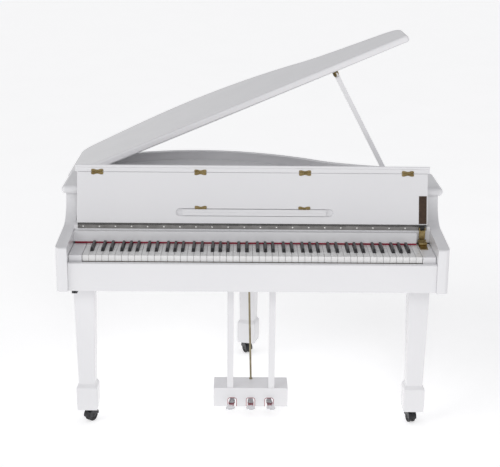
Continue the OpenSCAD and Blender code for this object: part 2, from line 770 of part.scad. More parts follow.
keybed();
keyslip();
case_rim();
left_arm();
right_arm();
left_cheek_block();
right_cheek_block();
key_back_rail();
key_felt();
front_panel();
front_top_panel();
inner_deck();
bottom_board();
hinge_strip_fixed();
hinge_strip_moving();
fallboard();
fallboard_lip();
lip_hinges_board();
lip_hinges_lip();
music_ledge();
ledge_hinges_board();
ledge_hinges_flap();
wear_strip();
damper_body();
damper_arm();
damper_roller();
lid();
lid_hinges_case();
lid_hinges_lid();
prop_bracket();
lid_prop();
prop_seat();
front_left_leg();
front_right_leg();
rear_leg();
caster_plates();
front_left_caster();
front_right_caster();
rear_caster();
front_left_wheels();
front_right_wheels();
rear_wheels();
lyre_posts();
pedal_box();
lyre_brace_rod();
left_pedal();
middle_pedal();
right_pedal();
pedal_felts();
key_frame();
bass_white_keys();
bass_black_keys();
treble_white_keys();
treble_black_keys();
middle_c_key();
c_sharp_key();
d_key();
speakers();
amplifier();
headphone_jack();
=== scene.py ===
"""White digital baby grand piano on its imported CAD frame: materials, detail pieces, stage."""
import json
import math

import bmesh
import bpy
from mathutils import Matrix, Vector


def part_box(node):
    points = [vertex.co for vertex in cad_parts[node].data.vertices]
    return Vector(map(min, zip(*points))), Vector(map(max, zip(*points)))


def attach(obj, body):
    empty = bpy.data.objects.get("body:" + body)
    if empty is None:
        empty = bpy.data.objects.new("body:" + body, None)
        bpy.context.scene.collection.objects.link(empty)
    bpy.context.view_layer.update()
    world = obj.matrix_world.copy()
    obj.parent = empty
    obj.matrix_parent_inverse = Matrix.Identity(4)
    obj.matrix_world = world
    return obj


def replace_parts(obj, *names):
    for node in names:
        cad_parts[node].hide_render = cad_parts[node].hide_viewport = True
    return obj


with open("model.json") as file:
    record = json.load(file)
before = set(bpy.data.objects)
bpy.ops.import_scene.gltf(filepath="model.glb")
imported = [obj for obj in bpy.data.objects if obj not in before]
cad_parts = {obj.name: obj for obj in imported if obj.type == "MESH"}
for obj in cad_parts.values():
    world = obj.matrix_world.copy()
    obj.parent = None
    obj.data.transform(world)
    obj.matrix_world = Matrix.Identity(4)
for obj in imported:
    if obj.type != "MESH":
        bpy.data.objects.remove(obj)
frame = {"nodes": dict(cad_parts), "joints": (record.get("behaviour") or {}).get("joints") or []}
NODES = frame["nodes"]
JOINTS = {joint["name"]: joint for joint in frame["joints"]}
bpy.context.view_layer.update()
MM = 0.001


def low(node):
    """Lowest corner of a CAD node."""
    return Vector(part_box(node)[0])


def high(node):
    """Highest corner of a CAD node."""
    return Vector(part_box(node)[1])


def pivot(joint):
    """A point on a joint's axis."""
    return Vector(JOINTS[joint]["pos_m"])


# ---- materials ----

class Surface:
    """A node material with object coordinates in metres and short ways to add detail."""

    def __init__(self, name, **sockets):
        self.material = bpy.data.materials.new(name)
        self.material.use_nodes = True
        self.tree = self.material.node_tree
        self.shader = self.tree.nodes["Principled BSDF"]
        self.place = self.tree.nodes.new("ShaderNodeTexCoord").outputs["Object"]
        self.height = None
        for socket, value in sockets.items():
            self.shader.inputs[socket.replace("_", " ")].default_value = value

    def link(self, out, into):
        self.tree.links.new(out, into)

    def stretched(self, scale):
        """Object coordinates multiplied by scale on each axis."""
        node = self.tree.nodes.new("ShaderNodeMapping")
        node.inputs["Scale"].default_value = scale
        self.link(self.place, node.inputs["Vector"])
        return node.outputs["Vector"]

    def noise(self, scale, detail=2.0, stretch=None, roughness=0.5):
        node = self.tree.nodes.new("ShaderNodeTexNoise")
        node.inputs["Scale"].default_value = scale
        node.inputs["Detail"].default_value = detail
        node.inputs["Roughness"].default_value = roughness
        where = self.stretched(stretch) if stretch else self.place
        self.link(where, node.inputs["Vector"])
        return node.outputs["Fac"]

    def cells(self, scale):
        """Distance to the nearest cell centre of a Voronoi pattern."""
        node = self.tree.nodes.new("ShaderNodeTexVoronoi")
        node.inputs["Scale"].default_value = scale
        self.link(self.place, node.inputs["Vector"])
        return node.outputs["Distance"]

    def colours(self, fac, *stops):
        """Colour from fac through (place, (r, g, b)) stops, into the base colour."""
        node = self.tree.nodes.new("ShaderNodeValToRGB")
        ramp = node.color_ramp
        for index, (at, colour) in enumerate(stops):
            stop = ramp.elements[index] if index < 2 else ramp.elements.new(at)
            stop.position = at
            stop.color = (*colour, 1.0)
        self.link(fac, node.inputs["Fac"])
        self.link(node.outputs["Color"], self.shader.inputs["Base Color"])
        return self

    def spread(self, fac, socket, least, most):
        """fac from 0.25 to 0.75 drives a socket from least to most."""
        node = self.tree.nodes.new("ShaderNodeMapRange")
        node.inputs["From Min"].default_value = 0.25
        node.inputs["From Max"].default_value = 0.75
        node.inputs["To Min"].default_value = least
        node.inputs["To Max"].default_value = most
        self.link(fac, node.inputs["Value"])
        self.link(node.outputs["Result"], self.shader.inputs[socket])
        return self

    def bump(self, fac, distance, strength=1.0):
        node = self.tree.nodes.new("ShaderNodeBump")
        node.inputs["Distance"].default_value = distance
        node.inputs["Strength"].default_value = strength
        self.link(fac, node.inputs["Height"])
        if self.height:
            self.link(self.height, node.inputs["Normal"])
        self.height = node.outputs["Normal"]
        self.link(self.height, self.shader.inputs["Normal"])
        return self


def lacquer():
    """Sprayed white polyester lacquer: faint tint drift, orange peel and a clear coat."""
    s = Surface("white_lacquer", IOR=1.5, Coat_Weight=0.55, Coat_Roughness=0.06)
    drift = s.noise(1.7, 3.0)
    s.colours(drift, (0.3, (0.765, 0.762, 0.778)), (0.7, (0.795, 0.790, 0.802)))
    s.spread(s.noise(9.0, 4.0), "Roughness", 0.30, 0.42)
    return s.bump(s.noise(260.0, 2.0), 0.00012, 0.35).material


def key_white():
    s = Surface("white_key", IOR=1.49, Coat_Weight=0.2, Coat_Roughness=0.15)
    s.colours(s.noise(14.0, 3.0), (0.3, (0.78, 0.775, 0.77)), (0.7, (0.82, 0.815, 0.81)))
    s.spread(s.noise(45.0, 4.0), "Roughness", 0.24, 0.36)
    return s.bump(s.noise(900.0, 2.0, (1.0, 0.12, 1.0)), 0.00004, 0.3).material


def key_black():
    s = Surface("black_key", IOR=1.5, Coat_Weight=0.15, Coat_Roughness=0.25)
    s.colours(s.noise(60.0, 3.0), (0.3, (0.012, 0.012, 0.014)), (0.7, (0.024, 0.023, 0.026)))
    s.spread(s.noise(120.0, 4.0, (1.0, 0.1, 1.0)), "Roughness", 0.32, 0.48)
    return s.bump(s.noise(700.0, 3.0, (1.0, 0.06, 1.0)), 0.00006, 0.4).material


def brass(name, light, dark, rough):
    s = Surface(name, Metallic=1.0)
    s.colours(s.noise(55.0, 4.0), (0.3, dark), (0.65, light))
    s.spread(s.noise(140.0, 3.0, (0.15, 1.0, 1.0)), "Roughness", rough, rough + 0.16)
    return s.bump(s.noise(600.0, 2.0, (0.08, 1.0, 1.0)), 0.00005, 0.3).material


def metal(name, light, dark, rough, grain=(0.06, 1.0, 1.0)):
    s = Surface(name, Metallic=1.0)
    s.colours(s.noise(35.0, 4.0), (0.3, dark), (0.7, light))
    s.spread(s.noise(90.0, 3.0), "Roughness", rough, rough + 0.1)
    return s.bump(s.noise(800.0, 2.0, grain), 0.00003, 0.25).material


def felt():
    s = Surface("red_felt", Roughness=1.0, Sheen_Weight=0.45, Sheen_Roughness=0.5)
    s.colours(s.noise(420.0, 5.0, None, 0.7), (0.3, (0.20, 0.004, 0.016)),
              (0.7, (0.42, 0.012, 0.05)))
    s.bump(s.noise(1500.0, 4.0, None, 0.8), 0.0004, 0.8)
    return s.bump(s.noise(260.0, 2.0), 0.0005, 0.4).material


def leather():
    s = Surface("brown_leather", IOR=1.45)
    s.colours(s.noise(90.0, 4.0), (0.3, (0.035, 0.018, 0.010)), (0.7, (0.062, 0.034, 0.019)))
    s.spread(s.noise(60.0, 4.0), "Roughness", 0.42, 0.62)
    s.bump(s.cells(900.0), 0.0002, 0.5)
    return s.bump(s.noise(50.0, 3.0), 0.0003, 0.3).material


def moulded(name, light, dark, rough, grain=900.0):
    """Moulded plastic or rubber with a fine spark-eroded grain."""
    s = Surface(name, IOR=1.47)
    s.colours(s.noise(70.0, 4.0), (0.3, dark), (0.7, light))
    s.spread(s.noise(150.0, 3.0), "Roughness", rough, rough + 0.14)
    return s.bump(s.noise(grain, 3.0), 0.00012, 0.5).material


def beech():
    s = Surface("beech", IOR=1.45)
    rings = s.noise(30.0, 4.0, (0.12, 1.0, 2.2))
    s.colours(rings, (0.3, (0.42, 0.26, 0.13)), (0.52, (0.60, 0.41, 0.23)),
              (0.75, (0.50, 0.32, 0.17)))
    s.spread(s.noise(260.0, 3.0, (0.1, 1.0, 1.0)), "Roughness", 0.5, 0.7)
    return s.bump(s.noise(700.0, 3.0, (0.05, 1.0, 1.0)), 0.0001, 0.5).material


def cone_paper():
    s = Surface("speaker_paper", IOR=1.4)
    s.colours(s.noise(240.0, 5.0), (0.3, (0.018, 0.018, 0.019)), (0.7, (0.045, 0.044, 0.042)))
    s.spread(s.noise(400.0, 4.0), "Roughness", 0.75, 0.95)
    return s.bump(s.noise(1300.0, 4.0), 0.0003, 0.7).material


MATERIALS = {
    "white_lacquer": lacquer(),
    "white_key": key_white(),
    "black_key": key_black(),
    "brass": brass("brass", (0.44, 0.34, 0.16), (0.28, 0.20, 0.085), 0.22),
    "rod_brass": brass("rod_brass", (0.38, 0.33, 0.22), (0.28, 0.24, 0.155), 0.36),
    # Steel far darker than polished steel really is: its colour is a painted dark reflection of the
    # black keys
    "polished_steel": metal("polished_steel", (0.21, 0.205, 0.20), (0.15, 0.145, 0.14), 0.10),
    "screw_steel": metal("screw_steel", (0.82, 0.81, 0.79), (0.66, 0.65, 0.64), 0.16),
    "chrome": metal("chrome", (0.86, 0.86, 0.87), (0.78, 0.78, 0.80), 0.09),
    "red_felt": felt(),
    "brown_leather": leather(),
    "black_rubber": moulded("black_rubber", (0.035, 0.034, 0.034), (0.018, 0.018, 0.018), 0.6),
    "black_steel": moulded("black_steel", (0.030, 0.030, 0.032), (0.015, 0.015, 0.016), 0.3),
    "caster_plastic": moulded("caster_plastic", (0.022, 0.022, 0.025),
                              (0.011, 0.011, 0.013), 0.26, 700.0),
    "wheel_plastic": moulded("wheel_plastic", (0.040, 0.039, 0.040),
                             (0.020, 0.020, 0.021), 0.44),
    "beech": beech(),
    "speaker_black": cone_paper(),
    "amplifier_steel": moulded("amplifier_steel", (0.16, 0.17, 0.17), (0.11, 0.12, 0.12), 0.4),
    "dark_plastic": moulded("dark_plastic", (0.055, 0.055, 0.057), (0.03, 0.03, 0.032), 0.38),
}

# ---- mesh helpers ----

def frame_of(z_axis, x_hint, at):
    """Matrix with its Z along z_axis, its X near x_hint and its origin at a point."""
    z = Vector(z_axis).normalized()
    y = z.cross(Vector(x_hint)).normalized()
    x = y.cross(z)
    rows = Matrix((x, y, z)).transposed().to_4x4()
    rows.translation = Vector(at)
    return rows


UPRIGHT = Matrix.Identity(4)


def loft(bm, rings, cap=True):
    """Skin over rings that hold the same number of points."""
    made = [[bm.verts.new(point) for point in ring] for ring in rings]
    count = len(made[0])
    for a, b in zip(made, made[1:]):
        for i in range(count):
            j = (i + 1) % count
            bm.faces.new((a[i], a[j], b[j], b[i]))
    if cap:
        bm.faces.new(list(reversed(made[0])))
        bm.faces.new(made[-1])
    return made


def lathe(bm, profile, place=UPRIGHT, steps=32):
    """Closed body turned about local Z from (radius, height) points, ends on the axis or not."""
    rings = []
    for radius, height in profile:
        ring = []
        for i in range(steps):
            a = math.tau * i / steps
            ring.append(place @ Vector((radius * math.cos(a), radius * math.sin(a), height)))
        rings.append(ring)
    loft(bm, rings)


def tube(bm, profile, place=UPRIGHT, steps=32):
    """Ring body turned about local Z from a closed loop of (radius, height) points."""
    rings = []
    for i in range(steps):
        a = math.tau * i / steps
        rings.append([place @ Vector((r * math.cos(a), r * math.sin(a), h)) for r, h in profile])
    made = [[bm.verts.new(point) for point in ring] for ring in rings]
    count = len(profile)
    for i in range(steps):
        a, b = made[i], made[(i + 1) % steps]
        for k in range(count):
            m = (k + 1) % count
            bm.faces.new((a[k], b[k], b[m], a[m]))


def plate(bm, outline, z0, z1, place=UPRIGHT, chamfer=0.0):
    """Flat body from a counter-clockwise outline, with a chamfer round its upper face."""
    centre = Vector((sum(p[0] for p in outline), sum(p[1] for p in outline))) / len(outline)

    def inset(distance):
        kept = []
        count = len(outline)
        for i, point in enumerate(outline):
            before = Vector(outline[i - 1])
            after = Vector(outline[(i + 1) % count])
            here = Vector(point)
            along = (here - before).normalized() + (after - here).normalized()
            inward = Vector((-along.y, along.x))
            if inward.length < 1e-9:
                inward = centre - here
            kept.append(here + inward.normalized() * distance)
        return kept

    levels = [(0.0, z0), (0.0, z1 - chamfer)]
    if chamfer:
        levels.append((chamfer, z1))
    loft(bm, [[place @ Vector((p.x, p.y, z)) for p in inset(d)] for d, z in levels])


def block(bm, a, b, place=UPRIGHT, chamfer=0.0006):
    """Box between two corners with all its edges chamfered."""
    x0, y0, z0 = a
    x1, y1, z1 = b
    c = min(chamfer, (x1 - x0) / 3, (y1 - y0) / 3, (z1 - z0) / 3)

    def ring(d, z):
        corners = [(x0 + d, y0 + c + d, z), (x0 + c + d, y0 + d, z), (x1 - c - d, y0 + d, z),
                   (x1 - d, y0 + c + d, z), (x1 - d, y1 - c - d, z), (x1 - c - d, y1 - d, z),
                   (x0 + c + d, y1 - d, z), (x0 + d, y1 - c - d, z)]
        return [place @ Vector(p) for p in corners]

    loft(bm, [ring(c, z0), ring(0.0, z0 + c), ring(0.0, z1 - c), ring(c, z1)])


def smooth_outline(points, steps):
    """Closed Catmull-Rom curve through 2-D points."""
    out = []
    count = len(points)
    for i in range(count):
        p0, p1, p2, p3 = (Vector(points[(i + k) % count]) for k in (-1, 0, 1, 2))
        for k in range(steps):
            t = k / steps
            out.append(0.5 * (2 * p1 + (p2 - p0) * t + (2 * p0 - 5 * p1 + 4 * p2 - p3) * t ** 2
                              + (3 * p1 - p0 - 3 * p2 + p3) * t ** 3))
    return out


def screw(bm, at, normal, radius, turn=0.0, raised=0.0006):
    """Slotted screw head: two domed halves on a thin washer face."""
    place = frame_of(normal, (0.3, 0.9, 0.4), at) @ Matrix.Rotation(turn, 4, "Z")
    lathe(bm, [(radius, -raised), (radius, raised * 0.2), (radius * 0.9, raised * 0.35)],
          place, 20)
    gap = radius * 0.14
    for side in (1, -1):
        rings = []
        for share, height in ((0.97, 0.3), (0.86, 0.75), (0.55, 0.97), (0.3, 1.0)):
            r = radius * share
            first = math.asin(min(gap / r, 0.9))
            ring = []
            for i in range(9):
                a = first + (math.pi - 2 * first) * i / 8
                ring.append(place @ Vector((r * math.cos(a), side * r * math.sin(a),
                                            raised * height)))
            rings.append(ring if side > 0 else ring[::-1])
        loft(bm, rings)


def piece(name, bm, body, slot, material=None, sharp=32.0):
    """Turns a bmesh into a scene piece that rides on a body."""
    bmesh.ops.recalc_face_normals(bm, faces=bm.faces)
    mesh = bpy.data.meshes.new(name)
    bm.to_mesh(mesh)
    bm.free()
    mesh.materials.append(MATERIALS[material or slot])
    mesh.shade_smooth()
    mesh.set_sharp_from_angle(angle=math.radians(sharp))
    made = bpy.data.objects.new(name, mesh)
    bpy.context.scene.collection.objects.link(made)
    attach(made, body)
    return made


# ---- CAD nodes that stay, with softened edges ----

def dress(node, material, bevel, steps=3, angle=30.0):
    """Gives a CAD node its material and rounded edges."""
    made = NODES[node]
    mesh = made.data
    if "custom_normal" in mesh.attributes:
        mesh.attributes.remove(mesh.attributes["custom_normal"])
    mesh.materials.clear()
    mesh.materials.append(MATERIALS[material])
    mesh.shade_smooth()
    weld = made.modifiers.new("weld", "WELD")
    weld.merge_threshold = 0.00001
    flat = made.modifiers.new("flat", "DECIMATE")
    flat.decimate_type = "DISSOLVE"
    flat.angle_limit = math.radians(0.3)
    soft = made.modifiers.new("soft", "BEVEL")
    soft.width = bevel * MM
    soft.segments = steps
    soft.limit_method = "ANGLE"
    soft.angle_limit = math.radians(angle)
    soft.harden_normals = True
    soft.miter_outer = "MITER_ARC"


KEPT = [
    ("white_lacquer", 1.2, ["keybed", "front_panel", "inner_deck", "bottom_board",
                            "key_back_rail", "prop_seat", "keyslip"]),
    ("white_lacquer", 1.8, ["left_arm", "right_arm", "case_rim", "left_cheek_block",
                            "right_cheek_block", "fallboard", "music_ledge", "lid_prop"]),
    ("white_lacquer", 1.0, ["fallboard_lip", "lyre_posts"]),
    ("white_lacquer", 2.4, ["front_left_leg", "front_right_leg", "rear_leg", "pedal_box"]),
    ("white_lacquer", 9.0, ["lid"]),
    ("white_lacquer", 0.8, ["front_top_panel"]),
    ("red_felt", 0.4, ["key_felt", "pedal_felts"]),
    # The hinge strips take the steel whose dark colour is a painted reflection of the black keys
    ("polished_steel", 0.25, ["hinge_strip_fixed", "hinge_strip_moving"]),
    ("brown_leather", 0.3, ["wear_strip"]),
    ("brass", 0.5, ["damper_body", "damper_arm", "lid_hinges_case", "lid_hinges_lid",
                    "prop_bracket"]),
    ("rod_brass", 0.6, ["lyre_brace_rod"]),
    ("black_rubber", 0.6, ["damper_roller"]),
    ("black_steel", 0.6, ["caster_plates"]),
    ("white_key", 0.7, ["bass_white_keys", "treble_white_keys", "middle_c_key", "d_key"]),
    ("beech", 0.8, ["key_frame"]),
    ("dark_plastic", 0.8, ["headphone_jack"]),
    ("amplifier_steel", 0.8, ["amplifier"]),
    ("speaker_black", 0.6, ["speakers"]),
]
for slot_name, width, names in KEPT:
    for node_name in names:
        dress(node_name, slot_name, width, 5 if width > 5 else 3)

# ---- black keys ----

WHITE_COUNT = 52
FIRST_LETTER = 5
MIDDLE_C = 23
SHIFTS = {0: -3.3, 1: 3.3, 3: -4.4, 4: 0.0, 5: 4.4}
keys_left = low("bass_white_keys").x - 0.5 * MM
keys_right = high("treble_white_keys").x + 0.5 * MM
pitch = (keys_right - keys_left) / WHITE_COUNT
key_top = high("middle_c_key").z
sharp_lo, sharp_hi = low("c_sharp_key"), high("c_sharp_key")
sharp_half = (sharp_hi.x - sharp_lo.x) / 2
rail_face = low("key_back_rail").y


def black_key(bm, x):
    """Black key with drafted sides, a sloping nose and a crowned top."""
    base, top = sharp_lo.z, sharp_hi.z
    tail_z = key_top - 1.2 * MM
    nose = [(0.2, -0.6), (1.5, 1.8), (2.6, 4.4), (4.2, 7.6), (6.2, 10.4), (9.5, 11.7), (14.0, 12.0)]
    stations = [(sharp_lo.y + y * MM, key_top + z * MM) for y, z in nose]
    stations += [(rail_face - 3.6 * MM, top), (rail_face - 3.5 * MM, tail_z),
                 (sharp_hi.y, tail_z)]
    rings = []
    for y, z in stations:
        rise = max((z - key_top) / (top - key_top), 0.0)
        half = sharp_half - 0.9 * MM * rise
        bend = 1.3 * MM * min(rise * 1.6, 1.0)
        crown = 0.25 * MM * rise
        right = [(sharp_half, base), (sharp_half, min(key_top - 0.4 * MM, z - 0.2 * MM)),
                 (half, z - bend - 0.1 * MM), (half - bend * 0.3, z - bend * 0.3),
                 (half - bend, z - crown * 0.6), (half * 0.4, z)]
        left = [(-u, v) for u, v in reversed(right)]
        rings.append([Vector((x + u, y, v)) for u, v in right + left])
    loft(bm, rings)


def black_bank(name, node, first, last):
    bm = bmesh.new()
    for i in range(first, last + 1):
        letter = (i + FIRST_LETTER) % 7
        if letter in SHIFTS and i < WHITE_COUNT - 1:
            black_key(bm, keys_left + (i + 1) * pitch + SHIFTS[letter] * MM)
    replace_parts(piece(name, bm, node, "black_key", sharp=50.0), node)


black_bank("bass_sharps", "bass_black_keys", 0, MIDDLE_C - 1)
black_bank("middle_c_sharp", "c_sharp_key", MIDDLE_C, MIDDLE_C)
black_bank("treble_sharps", "treble_black_keys", MIDDLE_C + 1, WHITE_COUNT - 2)

# ---- butterfly hinges of the lip and the ledge ----

AXIS_PROUD = 0.7 * MM
FACE_BEHIND = 1.0 * MM
board_turn = pivot("fallboard_hinge")
lip_reach = pivot("lip_hinge") - board_turn
lean = math.atan2(lip_reach.y, lip_reach.z) + math.asin(AXIS_PROUD / lip_reach.length)
# Frame of the open fallboard: Z up its leaning face, Y into it, from the strip hinge
BOARD = Matrix.Translation((0.0, board_turn.y, board_turn.z)) @ Matrix.Rotation(-lean, 4, "X")
LEANED_FACE = BOARD.to_3x3() @ Vector((0.0, -1.0, 0.0))
HINGE_HALF = 22.5
WING = [(-19.5, 1.9), (-22.3, 4.6), (-22.3, 8.0), (-19.6, 10.3), (-12.0, 10.4), (-6.4, 8.6),
        (0.0, 7.4), (6.4, 8.6), (12.0, 10.4), (19.6, 10.3), (22.3, 8.0), (22.3, 4.6),
        (19.5, 1.9)]


def board_height(joint):
    """Height of a joint's axis up the leaning face."""
    return (BOARD.inverted() @ Vector((0.0, *pivot(joint).yz))).z


def wing(bm, x, height, way, reach=1.0):
    """Scalloped hinge leaf on the board's face, above (way 1) or below (way -1) its axis."""
    outline = [(u * MM, v * MM * reach) for u, v in WING]
    curved = smooth_outline(outline, 4)
    at = (x, FACE_BEHIND - 0.05 * MM, height)
    place = BOARD @ frame_of((0.0, -1.0, 0.0), (way, 0.0, 0.0), at)
    plate(bm, [(p.x, p.y) for p in curved][::-1], 0.0, 1.5 * MM, place, 0.4 * MM)
    for k in (-1, 1):
        spot = place @ Vector((k * 14.5 * MM, 6.0 * MM * reach, 1.5 * MM))
        screw(bm, spot, LEANED_FACE, 2.3 * MM, 0.6 * k + way, 0.5 * MM)


def knuckle(bm, x0, x1, height, radius):
    """Hinge barrel along X with eased ends."""
    place = BOARD @ frame_of((1.0, 0.0, 0.0), (0.0, 0.0, 1.0), (x0, -AXIS_PROUD, height))
    ease = radius * 0.25
    length = x1 - x0
    lathe(bm, [(radius - ease, 0.0), (radius, ease), (radius, length - ease),
               (radius - ease, length)], place, 20)


def pin_end(bm, x, way, height, radius):
    """Small rounded finial on the end of a hinge pin."""
    place = BOARD @ frame_of((way, 0.0, 0.0), (0.0, 0.0, 1.0), (x, -AXIS_PROUD, height))
    lathe(bm, [(radius * 0.6, -0.8 * MM), (radius * 0.6, 0.0), (radius * 0.95, 0.5 * MM),
               (radius * 0.8, 1.1 * MM), (radius * 0.3, 1.4 * MM)], place, 16)


def strap(bm, x, half, height, way):
    """Tongue from a barrel on to its leaf."""
    ends = sorted((height, height + way * 3 * MM))
    block(bm, (x - half, -AXIS_PROUD, ends[0]), (x + half, FACE_BEHIND - 0.05 * MM, ends[1]),
          BOARD, 0.3 * MM)


def hinge_row(fixed_node, moving_node, fixed_body, moving_body, joint, xs, ways, reach):
    """Butterfly hinges on one axis: outer barrels on the fixed leaf, a middle one on the other."""
    height = board_height(joint)
    radius = 1.6 * MM
    fixed, moving = bmesh.new(), bmesh.new()
    for x in xs:
        wing(fixed, x, height, ways[0], reach[0])
        for k in (-1, 1):
            ends = sorted((x + k * 7.8 * MM, x + k * 20.2 * MM))
            knuckle(fixed, ends[0], ends[1], height, radius)
            pin_end(fixed, x + k * 20.2 * MM, k, height, radius)
            strap(fixed, x + k * 14.0 * MM, 6.0 * MM, height, ways[0])
        if ways[1]:
            wing(moving, x, height, ways[1], reach[1])
            strap(moving, x, 7.0 * MM, height, ways[1])
        else:
            top = height - 1.8 * MM
            block(moving, (x - 7.2 * MM, -AXIS_PROUD, top),
                  (x + 7.2 * MM, 7.5 * MM, top + 1.1 * MM), BOARD, 0.3 * MM)
        knuckle(moving, x - 7.3 * MM, x + 7.3 * MM, height, radius)
    name = joint.split("_")[0]
    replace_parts(piece(name + "_hinge_leaves", fixed, fixed_body, "brass"), fixed_node)
    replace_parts(piece(name + "_hinge_flaps", moving, moving_body, "brass"), moving_node)


lip_edge = high("lip_hinges_board").x - HINGE_HALF * MM
LIP_INNER = 195 * MM
lip_xs = [-lip_edge, -LIP_INNER, LIP_INNER, lip_edge]
ledge_xs = [low("ledge_hinges_board").x + HINGE_HALF * MM,
            high("ledge_hinges_board").x - HINGE_HALF * MM]
hinge_row("lip_hinges_board", "lip_hinges_lip", "fallboard", "lip", "lip_hinge", lip_xs,
          (-1, 1), (1.0, 0.95))
hinge_row("ledge_hinges_board", "ledge_hinges_flap", "fallboard", "ledge", "ledge_hinge",
          ledge_xs, (1, 0), (1.0, 1.0))

# ---- screws ----

def screw_row(name, body, slot, spots, normal, radius, material=None):
    bm = bmesh.new()
    for i, spot in enumerate(spots):
        screw(bm, spot, normal, radius, 0.9 * i, radius * 0.22)
    piece(name, bm, body, slot, material)


strip_lo, strip_hi = low("hinge_strip_fixed"), high("hinge_strip_fixed")
STRIP_SCREW_GAP = 0.060
STRIP_END = 0.02
strip_count = int((strip_hi.x - strip_lo.x - STRIP_END) / STRIP_SCREW_GAP) + 1
strip_start = -(strip_count - 1) * STRIP_SCREW_GAP / 2
leaf_front = pivot("fallboard_hinge").y - 1.3 * MM
leaf_mid = strip_lo.z + 7.5 * MM
screw_row("strip_screws", "case", "polished_steel",
          [(strip_start + i * STRIP_SCREW_GAP, leaf_front, leaf_mid)
           for i in range(strip_count)], (0.0, -1.0, 0.0), 3.1 * MM, "screw_steel")
lid_leaf_lo = low("lid_hinges_case")
side_face = low("left_arm").x
# Middles of the three lid hinges along the lid's axis, from the joint's point
LID_HINGES = (-0.115, 0.035, 0.185)
LID_SCREW_STEPS = (-0.024, 0.0, 0.024)
LID_LEAF_PROUD = 2.5 * MM
LID_SCREW_RISE = 12 * MM
lid_spots = []
for middle in LID_HINGES:
    y_mid = pivot("lid_hinge").y + middle
    for step in LID_SCREW_STEPS:
        lid_spots.append((side_face - LID_LEAF_PROUD, y_mid + step,
                          lid_leaf_lo.z + LID_SCREW_RISE))
screw_row("lid_hinge_screws", "case", "brass", lid_spots, (-1.0, 0.0, 0.0), 3.4 * MM)

# ---- casters ----

WHEEL_R = 24 * MM
TRAIL = 14 * MM
HOOD_INNER = 25.4 * MM
HOOD_OUTER = 27.6 * MM
# Where the hood starts and ends round the axle, in degrees, and its number of facets
HOOD_SPAN = (4.0, 186.0)
HOOD_STEPS = 22
plate_z = low("caster_plates").z


def caster_frame(corner):
    """Local frame of a caster: X along its axle, Y along its trail, Z up from the floor."""
    axle = Vector(next(j["axis"] for j in frame["joints"] if j["name"] == corner + "_wheel_roll"))
    swivel = pivot(corner + "_caster_swivel")
    return frame_of((0.0, 0.0, 1.0), axle, (swivel.x, swivel.y, 0.0))


def hood_arc(radius, first, last, steps):
    """Points round the axle in the plane of the trail, as (y, z)."""
    points = []
    for i in range(steps + 1):
        a = math.radians(first + (last - first) * i / steps)
        points.append((TRAIL + radius * math.cos(a), WHEEL_R + radius * math.sin(a)))
    return points


def caster_body(bm, place):
    """Bearing disc, neck, middle blade, hood over both wheels and axle caps."""
    top = plate_z - 0.3 * MM
    lathe(bm, [(6 * MM, top - 3.4 * MM), (15.5 * MM, top - 3.4 * MM), (17 * MM, top - 2.6 * MM),
               (17 * MM, top - 0.8 * MM), (16.2 * MM, top), (6 * MM, top)], place, 40)
    lathe(bm, [(13.5 * MM, top - 9.5 * MM), (12.0 * MM, top - 6.5 * MM),
               (11.5 * MM, top - 3.0 * MM)], place, 32)
    blade = smooth_outline([(-8 * MM, 51 * MM), (-8 * MM, 42 * MM), (3 * MM, 24 * MM),
                            (TRAIL, 17 * MM), (TRAIL + 8 * MM, 24 * MM),
                            (TRAIL + 5 * MM, 40 * MM), (14 * MM, 50 * MM)], 5)
    side = place @ frame_of((1.0, 0.0, 0.0), (0.0, 1.0, 0.0), (-2.2 * MM, 0.0, 0.0))
    plate(bm, [(p.x, p.y) for p in blade], 0.0, 4.4 * MM, side, 0.4 * MM)
    shell = (hood_arc(HOOD_OUTER, *HOOD_SPAN, HOOD_STEPS)
             + hood_arc(HOOD_INNER, *reversed(HOOD_SPAN), HOOD_STEPS))
    rings = []
    for x in (-15.2, -14.4, 14.4, 15.2):
        ease = 0.4 * MM if abs(x) > 15 else 0.0
        ring = []
        for y, z in shell:
            away = Vector((y - TRAIL, z - WHEEL_R))
            near = away * (1.0 - ease / away.length) if away.length > HOOD_INNER * 1.02 else away
            ring.append(place @ Vector((x * MM, TRAIL + near.x, WHEEL_R + near.y)))
        rings.append(ring)
    loft(bm, rings)
    cheek = (hood_arc(HOOD_OUTER - 0.6 * MM, *HOOD_SPAN, HOOD_STEPS)
             + hood_arc(7.0 * MM, 215.0, 325.0, 6))
    for k in (-1, 1):
        offset = 14.0 * MM if k > 0 else -15.6 * MM
        side = place @ frame_of((1.0, 0.0, 0.0), (0.0, 1.0, 0.0), (offset, 0.0, 0.0))
        plate(bm, cheek, 0.0, 1.6 * MM, side, 0.3 * MM)
        cap = place @ frame_of((k, 0.0, 0.0), (0.0, 0.0, 1.0), (k * 15.5 * MM, TRAIL, WHEEL_R))
        lathe(bm, [(5.4 * MM, -0.4 * MM), (5.4 * MM, 0.8 * MM), (4.2 * MM, 1.7 * MM),
                   (1.8 * MM, 2.2 * MM)], cap, 24)


